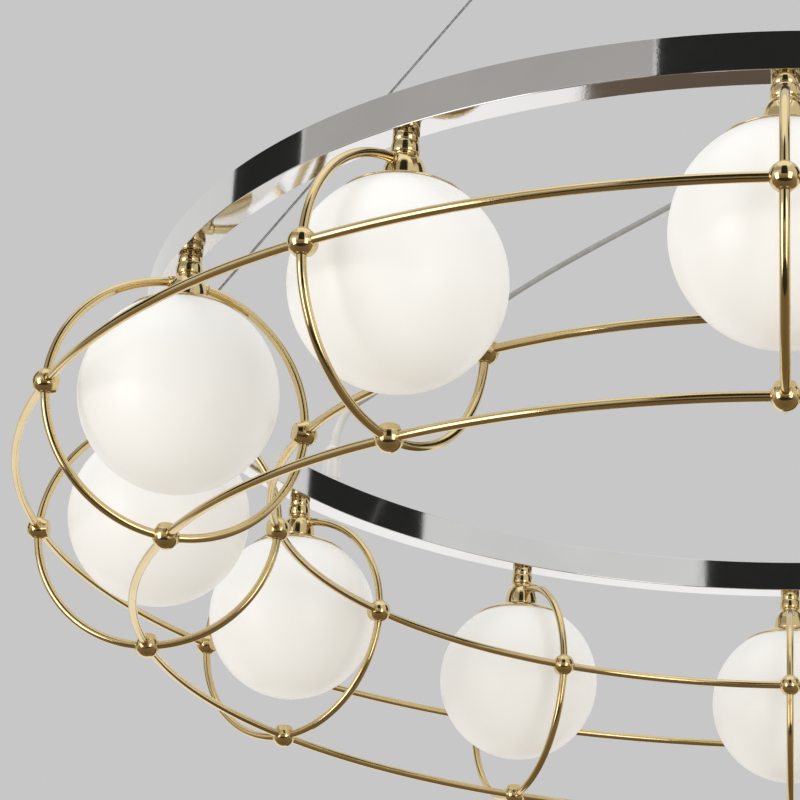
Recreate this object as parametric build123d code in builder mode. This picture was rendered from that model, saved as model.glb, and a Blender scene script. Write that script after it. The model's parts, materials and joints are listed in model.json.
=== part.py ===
from build123d import *
import math
import os

os.makedirs("parts", exist_ok=True)

# millimetres; the ceiling is z = 0 and the lamp hangs below it

# the circle of lamps
lamp_count = 12
lamp_circle_radius = 516.5
front_angle = -90.0
lamp_step = -360.0 / lamp_count

# chrome ring
ring_top = -753.0
ring_height = 28.5
ring_width = 20.5
ring_wall = 1.5
ring_edge_round = 0.5
cover_thickness = 1.2
cover_side_gap = 0.1

# globes
globe_gap = 39.2
globe_radius = 75.0
glass_wall = 3.0
collar_radius = 13.2
collar_bore = 10.4

# brass rods and balls
hoop_below_globe = 11.3
hoop_radius = 101.0
rod_radius = 3.4
ball_radius = 10.0
ball_disc_radius = 10.3
ball_disc_start = 6.8
ball_disc_thickness = 2.2
ball_neck_radius = 8.0
rod_end_reach = 5.0
rod_seat_reach = 4.8
rim_recess_radius = 4.6
rim_recess_reach = 8.0

# sockets
bell_radius = 15.3
bell_lip = 3.2
waist_radius = 8.0
neck_radius = 8.6
neck_height = 15.2
low_bead_height = 3.0
low_bead_proud = 1.0
high_bead_height = 2.0
high_bead_proud = 0.6
high_bead_rise = 6.2
shoulder_rise = 9.6
chamber_radius = 4.5
chamber_height = 10.0
wire_bore = 2.6
nipple_radius = 5.0
nipple_hole = 5.2
boss_radius = 4.6
boss_reach = 14.2
hoop_root_reach = 7.0
hoop_root_seat = 6.8
socket_nut_flats = 12.0
socket_nut_height = 4.0
nipple_past_nut = 1.5

# gallery caps
cap_sheet = 1.0
cap_glass_gap = 0.3
cap_bore = 14.0
cap_landing_radius = 16.5
cap_half_angle = 34.5

# lamp holders and capsules
holder_radius = 8.6
holder_length = 26.0
holder_slot_width = 10.0
holder_slot_thickness = 4.0
holder_slot_depth = 8.0
capsule_radius = 8.0
capsule_length = 38.0
capsule_stand_off = 1.5

# inside the ring
block_width = 17.2
block_length = 16.0
hanger_width = 16.9
hanger_length = 30.0
tunnel_width = 9.0
tunnel_height = 13.0
loom_height = 11.0
loom_radius = 2.5
drop_radius = 1.3
nut_pocket_radius = 7.2
terminal_length = 22.0
terminal_width = 12.0
terminal_height = 6.8
screw_head_radius = 3.0
screw_head_height = 1.6
screw_radius = 1.5
screw_length = 8.0

# cable ends
stud_base_radius = 8.0
stud_base_height = 2.5
stud_radius = 5.5
fork_gap = 5.4
fork_height = 20.5
fork_floor = 9.5
pin_height = 16.0
pin_radius = 1.5
pin_head_radius = 2.3
pin_head_height = 1.0
stud_shank_radius = 3.0
stud_shank_length = 7.8
eye_radius = 5.0
eye_thickness = 5.0
sleeve_radius = 2.6
sleeve_length = 22.0
cable_seat = 12.0
cable_radius = 1.1
cable_angles = (180.0, 60.0, -60.0)

# gland and cord
gland_angle = 145.5
gland_radius = 8.2
gland_body_height = 24.0
gland_cap_height = 12.0
gland_cap_dome = 3.0
gland_stub_radius = 5.0
gland_stub_length = 8.0
gland_nut_flats = 13.0
gland_nut_height = 3.0
cord_radius = 2.5
cord_start_depth = 8.0

# suspension head
pivot_depth = 30.0
cross_half = 6.0
trunnion_radius = 3.0
trunnion_reach = 12.9
lug_inner = 6.4
lug_outer = 12.4
lug_half_width = 5.0
hub_radius = 18.0
hub_top_depth = 39.0
hub_floor_gap = 3.5
hub_cable_end_rise = 9.0
strap_width = 28.0
strap_thickness = 3.0
slot_spacing = 70.0
slot_length = 12.0
slot_width = 5.5
ear_wall_gap = 3.5
ear_thickness = 2.5
ear_width = 16.0
ear_drop = 14.0
canopy_radius = 65.0
canopy_height = 55.0
canopy_wall = 1.5
canopy_edge_round = 5.0
canopy_cable_circle = 17.8
canopy_cable_hole = 7.3
canopy_cord_circle = 40.0
grommet_flange = 10.2
grommet_body = 8.7
grommet_bore = 7.2
side_screw_depth = 9.0
side_screw_radius = 2.0
side_screw_head_radius = 5.0
side_screw_head_height = 6.0
ceiling_block_length = 24.0
ceiling_block_width = 13.0
ceiling_block_height = 12.0
ceiling_block_x = 21.0

# fits
turning_fit = 0.08
pivot_fit = 0.05
seat_fit = 0.05
screw_clearance = 0.1

# sizes that follow from the canopy
hub_bottom_depth = canopy_height - canopy_wall - hub_floor_gap
hub_cable_end_depth = hub_bottom_depth - hub_cable_end_rise
ear_outer = canopy_radius - canopy_wall - ear_wall_gap
ear_inner = ear_outer - ear_thickness
strap_length = 2 * ear_outer

# heights that follow
ring_bottom = ring_top - ring_height
ring_floor = ring_bottom + ring_wall
cover_underside = ring_top - cover_thickness
globe_z = ring_bottom - globe_gap - globe_radius
hoop_z = globe_z - hoop_below_globe
cap_inner_radius = globe_radius + cap_glass_gap
cap_outer_radius = cap_inner_radius + cap_sheet
mouth_z = globe_z + math.sqrt(cap_inner_radius**2 - cap_bore**2) + cap_sheet
shoulder_z = mouth_z + shoulder_rise
waist_z = ring_bottom - neck_height
nut_top = ring_floor + socket_nut_height
nipple_top = nut_top + nipple_past_nut
collar_top = shoulder_z - 2.0
loom_z = ring_bottom + loom_height
channel_inner = lamp_circle_radius - ring_width / 2 + ring_wall
channel_outer = lamp_circle_radius + ring_width / 2 - ring_wall
pin_z = ring_top + pin_height

lamp_spots = PolarLocations(
    lamp_circle_radius, lamp_count, start_angle=front_angle, angular_range=-360
).locations
block_spots = PolarLocations(
    lamp_circle_radius,
    lamp_count,
    start_angle=front_angle + lamp_step / 2,
    angular_range=-360,
).locations


def spot_at(angle, reach=lamp_circle_radius):
    return Location((reach * cosine(angle), reach * sine(angle), 0), (0, 0, angle))


def cosine(angle):
    return math.cos(math.radians(angle))


def sine(angle):
    return math.sin(math.radians(angle))


def chord_angle(chord, radius):
    return math.degrees(2 * math.asin(chord / 2 / radius))


def save(piece, label):
    piece.part.label = label
    export_step(piece.part, f"parts/{label}.step")


def hoop_arc(thickness, start, end, mode=Mode.ADD):
    # an arc of the hoop circle in the radial plane; 0 is outward, 90 is up
    turned = Plane(
        origin=(0, 0, hoop_z),
        x_dir=(cosine(start), 0, sine(start)),
        z_dir=(0, -1, 0),
    )
    with Locations(turned):
        Torus(hoop_radius, thickness, major_angle=end - start, align=None, mode=mode)


def rail_arc(reach, height, thickness, start, end, mode=Mode.ADD):
    # an arc of a rail round the chandelier axis, in a lamp's own frame
    turned = Plane(
        origin=(-lamp_circle_radius, 0, height),
        x_dir=(cosine(start), sine(start), 0),
        z_dir=(0, 0, 1),
    )
    with Locations(turned):
        Torus(reach, thickness, major_angle=end - start, align=None, mode=mode)


# globe with its collar
with BuildPart() as globe_pattern:
    with Locations((0, 0, globe_z)):
        Sphere(globe_radius)
    with Locations((0, 0, globe_z)):
        Cylinder(
            collar_radius,
            collar_top - globe_z,
            align=(Align.CENTER, Align.CENTER, Align.MIN),
        )
    with Locations((0, 0, globe_z)):
        Sphere(globe_radius - glass_wall, mode=Mode.SUBTRACT)
    with Locations((0, 0, globe_z)):
        Cylinder(
            collar_bore,
            collar_top - globe_z + 1,
            align=(Align.CENTER, Align.CENTER, Align.MIN),
            mode=Mode.SUBTRACT,
        )

for number, spot in enumerate(lamp_spots, start=1):
    with BuildPart() as globe:
        with Locations(spot):
            add(globe_pattern.part)
    save(globe, f"globe_{number:02d}")

# vertical hoops of four rods
root_angle = math.degrees(math.asin(hoop_root_reach / hoop_radius))
end_angle = chord_angle(rod_end_reach, hoop_radius)
with BuildPart() as hoop_pattern:
    hoop_arc(rod_radius, end_angle, 90 - root_angle)
    hoop_arc(rod_radius, -90 + end_angle, -end_angle)
    hoop_arc(rod_radius, 180 + end_angle, 270 - end_angle)
    hoop_arc(rod_radius, 90 + root_angle, 180 - end_angle)

for number, spot in enumerate(lamp_spots, start=1):
    with BuildPart() as hoop:
        with Locations(spot):
            add(hoop_pattern.part)
    save(hoop, f"hoop_{number:02d}")


# rails of twelve rods each
def rail(reach, height, label):
    gap = chord_angle(rod_end_reach, reach)
    with BuildPart() as pattern:
        rail_arc(reach, height, rod_radius, gap, -lamp_step - gap)
    with BuildPart() as full_rail:
        with Locations(lamp_spots):
            add(pattern.part)
    save(full_rail, label)


rail(lamp_circle_radius + hoop_radius, hoop_z, "outer_rail")
rail(lamp_circle_radius, hoop_z - hoop_radius, "bottom_rail")
rail(lamp_circle_radius - hoop_radius, hoop_z, "inner_rail")


# ball joints; the angle is the ball's place on the hoop
def ball_joints(angle, label):
    x = hoop_radius * cosine(angle)
    z = hoop_radius * sine(angle)
    reach = lamp_circle_radius + x
    inward = Plane(
        origin=(x, 0, hoop_z + z),
        x_dir=(0, 1, 0),
        z_dir=(-cosine(angle), 0, -sine(angle)),
    )
    base = (Align.CENTER, Align.CENTER, Align.MIN)
    with BuildPart() as pattern:
        with Locations(inward):
            Sphere(ball_radius)
            with Locations((0, 0, ball_disc_start - 1.8)):
                Cylinder(ball_neck_radius, 2.0, align=base)
            with Locations((0, 0, ball_disc_start)):
                Cylinder(ball_disc_radius, ball_disc_thickness, align=base)
        for size, near, far in (
            (rod_radius + seat_fit, rod_seat_reach, 16),
            (rim_recess_radius, rim_recess_reach, 16),
        ):
            near_turn = chord_angle(near, hoop_radius)
            far_turn = chord_angle(far, hoop_radius)
            hoop_arc(size, angle + near_turn, angle + far_turn, Mode.SUBTRACT)
            hoop_arc(size, angle - far_turn, angle - near_turn, Mode.SUBTRACT)
            near_turn = chord_angle(near, reach)
            far_turn = chord_angle(far, reach)
            rail_arc(reach, hoop_z + z, size, near_turn, far_turn, Mode.SUBTRACT)
            rail_arc(reach, hoop_z + z, size, -far_turn, -near_turn, Mode.SUBTRACT)
    with BuildPart() as joints:
        with Locations(lamp_spots):
            add(pattern.part)
    save(joints, label)


ball_joints(0, "outer_ball_joints")
ball_joints(-90, "bottom_ball_joints")
ball_joints(180, "inner_ball_joints")

# turned sockets
lip_z = mouth_z + bell_lip
bell_rise = waist_z - lip_z
low_bead = waist_z
high_bead = waist_z + high_bead_rise
with BuildPart() as socket_pattern:
    with BuildSketch(Plane.XZ):
        with BuildLine():
            Line((0, mouth_z), (bell_radius, mouth_z))
            Line((bell_radius, mouth_z), (bell_radius, lip_z))
            Bezier(
                (bell_radius, lip_z),
                (bell_radius, lip_z + 0.6 * bell_rise),
                (waist_radius, waist_z - 0.45 * bell_rise),
                (waist_radius, waist_z),
            )
            Line((waist_radius, waist_z), (neck_radius, waist_z))
            ThreePointArc(
                (neck_radius, low_bead),
                (neck_radius + low_bead_proud, low_bead + low_bead_height / 2),
                (neck_radius, low_bead + low_bead_height),
            )
            Line((neck_radius, low_bead + low_bead_height), (neck_radius, high_bead))
            ThreePointArc(
                (neck_radius, high_bead),
                (neck_radius + high_bead_proud, high_bead + high_bead_height / 2),
                (neck_radius, high_bead + high_bead_height),
            )
            Line((neck_radius, high_bead + high_bead_height), (neck_radius, ring_bottom))
            Line((neck_radius, ring_bottom), (nipple_radius, ring_bottom))
            Line((nipple_radius, ring_bottom), (nipple_radius, nipple_top))
            Line((nipple_radius, nipple_top), (0, nipple_top))
            Line((0, nipple_top), (0, mouth_z))
        make_face()
    revolve(axis=Axis.Z)
    boss_turn = math.degrees(math.asin(boss_reach / hoop_radius))
    hoop_arc(boss_radius, 90 - boss_turn, 90 + boss_turn)
    with BuildSketch(Plane.XZ):
        with BuildLine():
            Polyline(
                (0, mouth_z),
                (collar_radius + turning_fit, mouth_z),
                (collar_radius + turning_fit, shoulder_z),
                (chamber_radius, shoulder_z),
                (chamber_radius, shoulder_z + chamber_height),
                (wire_bore, shoulder_z + chamber_height),
                (wire_bore, nipple_top),
                (0, nipple_top),
                close=True,
            )
        make_face()
    revolve(axis=Axis.Z, mode=Mode.SUBTRACT)
    seat_turn = math.degrees(math.asin(hoop_root_seat / hoop_radius))
    for low, high in ((90 - 12, 90 - seat_turn), (90 + seat_turn, 90 + 12)):
        hoop_arc(rod_radius + seat_fit, low, high, Mode.SUBTRACT)
with BuildPart() as lamp_sockets:
    with Locations(lamp_spots):
        add(socket_pattern.part)
save(lamp_sockets, "lamp_sockets")


# gallery caps
def sphere_height(radius, reach):
    return globe_z + math.sqrt(radius**2 - reach**2)


def sphere_point(radius, angle):
    return (radius * sine(angle), globe_z + radius * cosine(angle))


inner_turn = math.degrees(math.asin(cap_bore / cap_inner_radius))
outer_turn = math.degrees(math.asin(cap_landing_radius / cap_outer_radius))
with BuildPart() as cap_pattern:
    with BuildSketch(Plane.XZ):
        with BuildLine():
            ThreePointArc(
                sphere_point(cap_inner_radius, inner_turn),
                sphere_point(cap_inner_radius, (inner_turn + cap_half_angle) / 2),
                sphere_point(cap_inner_radius, cap_half_angle),
            )
            Line(
                sphere_point(cap_inner_radius, cap_half_angle),
                sphere_point(cap_outer_radius, cap_half_angle),
            )
            ThreePointArc(
                sphere_point(cap_outer_radius, cap_half_angle),
                sphere_point(cap_outer_radius, (outer_turn + cap_half_angle) / 2),
                sphere_point(cap_outer_radius, outer_turn),
            )
            Polyline(
                sphere_point(cap_outer_radius, outer_turn),
                (cap_landing_radius, mouth_z),
                (cap_bore, mouth_z),
                sphere_point(cap_inner_radius, inner_turn),
            )
        make_face()
    revolve(axis=Axis.Z)
with BuildPart() as gallery_caps:
    with Locations(lamp_spots):
        add(cap_pattern.part)
save(gallery_caps, "gallery_caps")

# lamp holders and capsules
holder_bottom = shoulder_z - holder_length
top_down = (Align.CENTER, Align.CENTER, Align.MAX)
bottom_up = (Align.CENTER, Align.CENTER, Align.MIN)
with BuildPart() as holder_pattern:
    with Locations((0, 0, shoulder_z)):
        Cylinder(holder_radius, holder_length, align=top_down)
    with Locations((0, 0, holder_bottom)):
        Box(
            holder_slot_width,
            holder_slot_thickness,
            holder_slot_depth,
            align=bottom_up,
            mode=Mode.SUBTRACT,
        )
with BuildPart() as lamp_holders:
    with Locations(lamp_spots):
        add(holder_pattern.part)
save(lamp_holders, "lamp_holders")

capsule_top = holder_bottom - capsule_stand_off
capsule_end = capsule_top - capsule_length
with BuildPart() as bulb_pattern:
    with Locations((0, 0, capsule_top)):
        Cylinder(capsule_radius, capsule_length - capsule_radius, align=top_down)
    with Locations((0, 0, capsule_end + capsule_radius)):
        Sphere(capsule_radius)
    with Locations((0, 0, capsule_top)):
        Box(
            holder_slot_width - 2 * seat_fit,
            holder_slot_thickness - 2 * seat_fit,
            holder_slot_depth + capsule_stand_off - 0.5,
            align=bottom_up,
        )
with BuildPart() as bulbs:
    with Locations(lamp_spots):
        add(bulb_pattern.part)
save(bulbs, "bulbs")

with BuildPart() as nut_pattern:
    with BuildSketch(Plane.XY.offset(ring_floor)):
        RegularPolygon(socket_nut_flats / 2, 6, major_radius=False)
        Circle(nipple_radius + seat_fit, mode=Mode.SUBTRACT)
    extrude(amount=socket_nut_height)
with BuildPart() as socket_nuts:
    with Locations(lamp_spots):
        add(nut_pattern.part)
save(socket_nuts, "socket_nuts")

# ring channel, open upward
with BuildPart() as ring_channel:
    with BuildSketch(Plane.XZ) as channel_section:
        with Locations((lamp_circle_radius, ring_bottom)):
            Rectangle(ring_width, ring_height, align=(Align.CENTER, Align.MIN))
        low_corners = channel_section.vertices().group_by(Axis.Y)[0]
        fillet(low_corners, ring_edge_round)
        with Locations((lamp_circle_radius, ring_floor)):
            Rectangle(
                ring_width - 2 * ring_wall,
                ring_height,
                align=(Align.CENTER, Align.MIN),
                mode=Mode.SUBTRACT,
            )
    revolve(axis=Axis.Z)
    with Locations(lamp_spots):
        with Locations((0, 0, ring_floor)):
            Cylinder(nipple_hole, 3 * ring_wall, mode=Mode.SUBTRACT)
save(ring_channel, "ring_channel")

# ring cover strip with its holes
with BuildPart() as ring_cover:
    with BuildSketch(Plane.XY.offset(cover_underside)):
        Circle(channel_outer - cover_side_gap)
        Circle(channel_inner + cover_side_gap, mode=Mode.SUBTRACT)
        with Locations(block_spots):
            Circle(screw_radius + screw_clearance, mode=Mode.SUBTRACT)
        for angle in cable_angles:
            with Locations(spot_at(angle)):
                Circle(stud_shank_radius + screw_clearance, mode=Mode.SUBTRACT)
        with Locations(spot_at(gland_angle)):
            Circle(gland_stub_radius + screw_clearance, mode=Mode.SUBTRACT)
    extrude(amount=cover_thickness)
save(ring_cover, "ring_cover")

# blocks that carry the cover
inner_height = cover_underside - ring_floor
with BuildPart() as block_pattern:
    with Locations((0, 0, ring_floor)):
        Box(block_width, block_length, inner_height, align=bottom_up)
    with Locations((0, 0, loom_z)):
        Box(tunnel_width, block_length + 2, tunnel_height, mode=Mode.SUBTRACT)
    with Locations((0, 0, cover_underside)):
        Cylinder(
            screw_radius + seat_fit,
            screw_length + 1 - cover_thickness,
            align=top_down,
            mode=Mode.SUBTRACT,
        )
with BuildPart() as cover_blocks:
    with Locations(block_spots):
        add(block_pattern.part)
save(cover_blocks, "cover_blocks")

with BuildPart() as screw_pattern:
    with Locations((0, 0, ring_top)):
        Cylinder(screw_head_radius, screw_head_height, align=bottom_up)
    with Locations((0, 0, ring_top)):
        Cylinder(screw_radius, screw_length, align=top_down)
    top_edge = screw_pattern.edges().group_by(Axis.Z)[-1]
    fillet(top_edge, 0.7)
with BuildPart() as cover_screws:
    with Locations(block_spots):
        add(screw_pattern.part)
save(cover_screws, "cover_screws")

# blocks that the cable studs screw into
with BuildPart() as hanger_pattern:
    with Locations((0, 0, ring_floor)):
        Box(hanger_width, hanger_length, inner_height, align=bottom_up)
        Cylinder(nut_pocket_radius, nipple_top - ring_floor, align=bottom_up, mode=Mode.SUBTRACT)
    with Locations((0, 0, loom_z)):
        Box(tunnel_width, hanger_length + 2, tunnel_height, mode=Mode.SUBTRACT)
    with Locations((0, 0, cover_underside)):
        Cylinder(
            stud_shank_radius + seat_fit,
            stud_shank_length + 0.4,
            align=top_down,
            mode=Mode.SUBTRACT,
        )
with BuildPart() as hanger_blocks:
    for angle in cable_angles:
        with Locations(spot_at(angle)):
            add(hanger_pattern.part)
save(hanger_blocks, "hanger_blocks")

# wiring loom: a closed loop, a drop into each socket and a tail to the cord
cord_start_z = ring_top - cord_start_depth
with BuildPart() as wiring_harness:
    with Locations(Location((0, 0, loom_z), (0, 0, lamp_step / 4))):
        Torus(lamp_circle_radius, loom_radius, align=None)
    with Locations(lamp_spots):
        with Locations((0, 0, shoulder_z)):
            Cylinder(drop_radius, loom_z - shoulder_z, align=bottom_up)
    with Locations(spot_at(gland_angle)):
        with Locations((0, 0, loom_z)):
            Cylinder(loom_radius - 0.1, cord_start_z - 0.3 - loom_z, align=bottom_up)
save(wiring_harness, "wiring_harness")

with BuildPart() as ring_terminal_block:
    with Locations(spot_at(gland_angle)):
        with Locations((0, 0, ring_floor)):
            Box(terminal_width, terminal_length, terminal_height, align=bottom_up)
save(ring_terminal_block, "ring_terminal_block")

# gland: body with its stub, domed cap, nut under the cover
cord_bore = cord_radius + seat_fit
with BuildPart() as gland_body:
    with Locations(spot_at(gland_angle)):
        with Locations((0, 0, ring_top)):
            Cylinder(gland_radius, gland_body_height, align=bottom_up)
            Cylinder(gland_stub_radius, gland_stub_length + cover_thickness, align=top_down)
            Cylinder(cord_bore, 80, mode=Mode.SUBTRACT)
save(gland_body, "gland_body")

with BuildPart() as gland_cap:
    with Locations(spot_at(gland_angle)):
        with Locations((0, 0, ring_top + gland_body_height)):
            Cylinder(gland_radius, gland_cap_height, align=bottom_up)
    rim = gland_cap.edges().group_by(Axis.Z)[-1]
    fillet(rim, gland_cap_dome)
    with Locations(spot_at(gland_angle)):
        with Locations((0, 0, ring_top)):
            Cylinder(cord_bore, 80, align=bottom_up, mode=Mode.SUBTRACT)
save(gland_cap, "gland_cap")

with BuildPart() as gland_nut:
    with BuildSketch(Plane.XY.offset(cover_underside - gland_nut_height)):
        with Locations(spot_at(gland_angle)):
            RegularPolygon(gland_nut_flats / 2, 6, major_radius=False)
            Circle(gland_stub_radius + seat_fit, mode=Mode.SUBTRACT)
    extrude(amount=gland_nut_height)
save(gland_nut, "gland_nut")

# cable studs with forked tops
with BuildPart() as stud_pattern:
    with Locations((0, 0, ring_top)):
        Cylinder(stud_base_radius, stud_base_height, align=bottom_up)
        Cylinder(stud_radius, fork_height, align=bottom_up)
        Cylinder(stud_shank_radius, cover_thickness + stud_shank_length, align=top_down)
    with Locations((0, 0, ring_top + fork_floor)):
        Box(20, fork_gap, 20, align=bottom_up, mode=Mode.SUBTRACT)
    with Locations(Location((0, 0, pin_z), (90, 0, 0))):
        Cylinder(pin_radius + pivot_fit, 20, mode=Mode.SUBTRACT)
with BuildPart() as cable_studs:
    for angle in cable_angles:
        with Locations(spot_at(angle)):
            add(stud_pattern.part)
save(cable_studs, "cable_studs")

with BuildPart() as pin_pattern:
    with Locations(Location((0, 0, pin_z), (90, 0, 0))):
        Cylinder(pin_radius, 2 * stud_radius)
    for side in (1, -1):
        middle = side * (stud_radius + pin_head_height / 2)
        with Locations(Location((0, middle, pin_z), (90, 0, 0))):
            Cylinder(pin_head_radius, pin_head_height)
with BuildPart() as cable_pins:
    for angle in cable_angles:
        with Locations(spot_at(angle)):
            add(pin_pattern.part)
save(cable_pins, "cable_pins")

# cable line: from the pin up to the pivot, in a cable's own radial plane
rise = -pivot_depth - pin_z
line_length = math.hypot(lamp_circle_radius, rise)
cable_plane = Plane(
    origin=(0, 0, pin_z),
    x_dir=(0, 1, 0),
    z_dir=(-lamp_circle_radius / line_length, 0, rise / line_length),
)
sleeve_start = 4.0
sleeve_end = sleeve_start + sleeve_length
with BuildPart() as ferrule_pattern:
    with Locations(Location((0, 0, pin_z), (90, 0, 0))):
        Cylinder(eye_radius, eye_thickness)
    with Locations(cable_plane):
        with Locations((0, 0, sleeve_start)):
            Cylinder(sleeve_radius, sleeve_length, align=bottom_up)
        with Locations((0, 0, sleeve_end - cable_seat - 0.2)):
            Cylinder(cable_radius + seat_fit, cable_seat + 5, align=bottom_up, mode=Mode.SUBTRACT)
    with Locations(Location((0, 0, pin_z), (90, 0, 0))):
        Cylinder(pin_radius + seat_fit, 20, mode=Mode.SUBTRACT)
with BuildPart() as cable_ferrules:
    for angle in cable_angles:
        with Locations(spot_at(angle)):
            add(ferrule_pattern.part)
save(cable_ferrules, "cable_ferrules")

slant = line_length / rise
cable_length = line_length - (sleeve_end - cable_seat) - (hub_cable_end_depth - pivot_depth) * slant
with BuildPart() as cable_pattern:
    with Locations(cable_plane):
        with Locations((0, 0, sleeve_end - cable_seat)):
            Cylinder(cable_radius, cable_length, align=bottom_up)
for number, angle in enumerate(cable_angles, start=1):
    with BuildPart() as suspension_cable:
        with Locations(spot_at(angle)):
            add(cable_pattern.part)
    save(suspension_cable, f"suspension_cable_{number}")
print("cable", round(cable_length, 1))

# cable hub with its two lugs
pivot_z = -pivot_depth
with BuildPart() as cable_hub:
    with Locations((0, 0, -hub_bottom_depth)):
        Cylinder(hub_radius, hub_bottom_depth - hub_top_depth, align=bottom_up)
    fillet(cable_hub.edges().filter_by(GeomType.CIRCLE), 1.5)
    with BuildSketch(Plane.XZ.offset(-lug_outer)):
        with Locations((0, pivot_z)):
            Circle(lug_half_width)
            Rectangle(
                2 * lug_half_width,
                hub_top_depth - pivot_depth + 2,
                align=(Align.CENTER, Align.MAX),
            )
    extrude(amount=lug_outer - lug_inner)
    with BuildSketch(Plane.XZ.offset(lug_inner)):
        with Locations((0, pivot_z)):
            Circle(lug_half_width)
            Rectangle(
                2 * lug_half_width,
                hub_top_depth - pivot_depth + 2,
                align=(Align.CENTER, Align.MAX),
            )
    extrude(amount=lug_outer - lug_inner)
    with Locations(Location((0, 0, pivot_z), (90, 0, 0))):
        Cylinder(trunnion_radius + pivot_fit, 40, mode=Mode.SUBTRACT)
    for angle in cable_angles:
        with Locations(spot_at(angle)):
            with Locations(cable_plane):
                with Locations((0, 0, sleeve_end - cable_seat)):
                    Cylinder(
                        cable_radius + seat_fit,
                        cable_length + 0.2,
                        align=bottom_up,
                        mode=Mode.SUBTRACT,
                    )
save(cable_hub, "cable_hub")

# swivel cross
with BuildPart() as swivel_cross:
    with Locations((0, 0, pivot_z)):
        Box(2 * cross_half, 2 * cross_half, 2 * cross_half)
    fillet(swivel_cross.edges(), 0.6)
    with Locations(Location((0, 0, pivot_z), (90, 0, 0)), Location((0, 0, pivot_z), (0, 90, 0))):
        Cylinder(trunnion_radius, 2 * trunnion_reach)
save(swivel_cross, "swivel_cross")

# ceiling bracket: slotted strap, two lugs, two ears
with BuildPart() as ceiling_bracket:
    Box(strap_length, strap_width, strap_thickness, align=top_down)
    with BuildSketch(Plane.YZ.offset(lug_inner)):
        with Locations((0, pivot_z)):
            Circle(lug_half_width)
            Rectangle(2 * lug_half_width, pivot_depth - 1, align=(Align.CENTER, Align.MIN))
    extrude(amount=lug_outer - lug_inner)
    with BuildSketch(Plane.YZ.offset(-lug_outer)):
        with Locations((0, pivot_z)):
            Circle(lug_half_width)
            Rectangle(2 * lug_half_width, pivot_depth - 1, align=(Align.CENTER, Align.MIN))
    extrude(amount=lug_outer - lug_inner)
    for side in (1, -1):
        with Locations((side * (ear_inner + ear_outer) / 2, 0, 0)):
            Box(ear_outer - ear_inner, ear_width, ear_drop, align=top_down)
    with Locations(Location((0, 0, pivot_z), (0, 90, 0))):
        Cylinder(trunnion_radius + pivot_fit, 40, mode=Mode.SUBTRACT)
    with Locations(Location((0, 0, -side_screw_depth), (0, 90, 0))):
        Cylinder(side_screw_radius + seat_fit, 2 * strap_length, mode=Mode.SUBTRACT)
    with BuildSketch(Plane.XY):
        with Locations((slot_spacing / 2, 0), (-slot_spacing / 2, 0)):
            SlotOverall(slot_length, slot_width)
    extrude(amount=-strap_thickness, mode=Mode.SUBTRACT)
save(ceiling_bracket, "ceiling_bracket")

# canopy: a cup, open upward, with holes for cables, cord and screws
cord_hole_spot = spot_at(gland_angle - 180, canopy_cord_circle)
with BuildPart() as canopy:
    Cylinder(canopy_radius, canopy_height, align=top_down)
    fillet(canopy.edges().group_by(Axis.Z)[0], canopy_edge_round)
    Cylinder(
        canopy_radius - canopy_wall,
        canopy_height - canopy_wall,
        align=top_down,
        mode=Mode.SUBTRACT,
    )
    inner_floor = canopy.faces().filter_by(Plane.XY).group_by(Axis.Z)[1]
    fillet(inner_floor.edges(), canopy_edge_round - canopy_wall)
    for angle in cable_angles:
        with Locations(spot_at(angle, canopy_cable_circle)):
            Cylinder(canopy_cable_hole, 3 * canopy_height, mode=Mode.SUBTRACT)
    with Locations(cord_hole_spot):
        Cylinder(grommet_body + seat_fit, 3 * canopy_height, mode=Mode.SUBTRACT)
    with Locations(Location((0, 0, -side_screw_depth), (0, 90, 0))):
        Cylinder(side_screw_radius + 0.2, 3 * canopy_radius, mode=Mode.SUBTRACT)
save(canopy, "canopy")

with BuildPart() as canopy_grommet:
    with Locations(cord_hole_spot):
        with Locations((0, 0, -canopy_height)):
            Cylinder(grommet_flange, 1.5, align=top_down)
            Cylinder(grommet_body, canopy_wall, align=bottom_up)
        with Locations((0, 0, -canopy_height + canopy_wall)):
            Cylinder(grommet_flange, 1.5, align=bottom_up)
        Cylinder(grommet_bore, 3 * canopy_height, mode=Mode.SUBTRACT)
save(canopy_grommet, "canopy_grommet")

with BuildPart() as canopy_screws:
    for side in (1, -1):
        head_face = Plane(
            origin=(side * canopy_radius, 0, -side_screw_depth),
            x_dir=(0, 1, 0),
            z_dir=(side, 0, 0),
        )
        with Locations(head_face):
            Cylinder(side_screw_head_radius, side_screw_head_height, align=bottom_up)
            Cylinder(side_screw_radius, canopy_radius - ear_inner, align=top_down)
save(canopy_screws, "canopy_screws")

with BuildPart() as ceiling_terminal_block:
    with Locations((ceiling_block_x, 0, -strap_thickness)):
        Box(ceiling_block_width, ceiling_block_length, ceiling_block_height, align=top_down)
save(ceiling_terminal_block, "ceiling_terminal_block")

# power cord in the gland's radial plane: reach from the axis, height above the ring
cord_route = [
    (516.5, -8.0),
    (516.5, 67.0),
    (468.0, 78.7),
    (400.0, 104.5),
    (332.0, 128.0),
    (264.0, 147.0),
    (196.0, 160.5),
    (128.0, 173.0),
    (62.0, 186.0),
    (0.0, 201.0),
    (-41.0, 214.0),
    (-44.0, 284.0),
    (-46.0, 354.0),
    (-46.5, 424.0),
    (-46.0, 494.0),
    (-44.5, 564.0),
    (-42.0, 634.0),
    (-40.0, 703.0),
]


def turn_at(before, point, after):
    first = math.atan2(point[1] - before[1], point[0] - before[0])
    second = math.atan2(after[1] - point[1], after[0] - point[0])
    return abs(math.remainder(second - first, 2 * math.pi))


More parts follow.
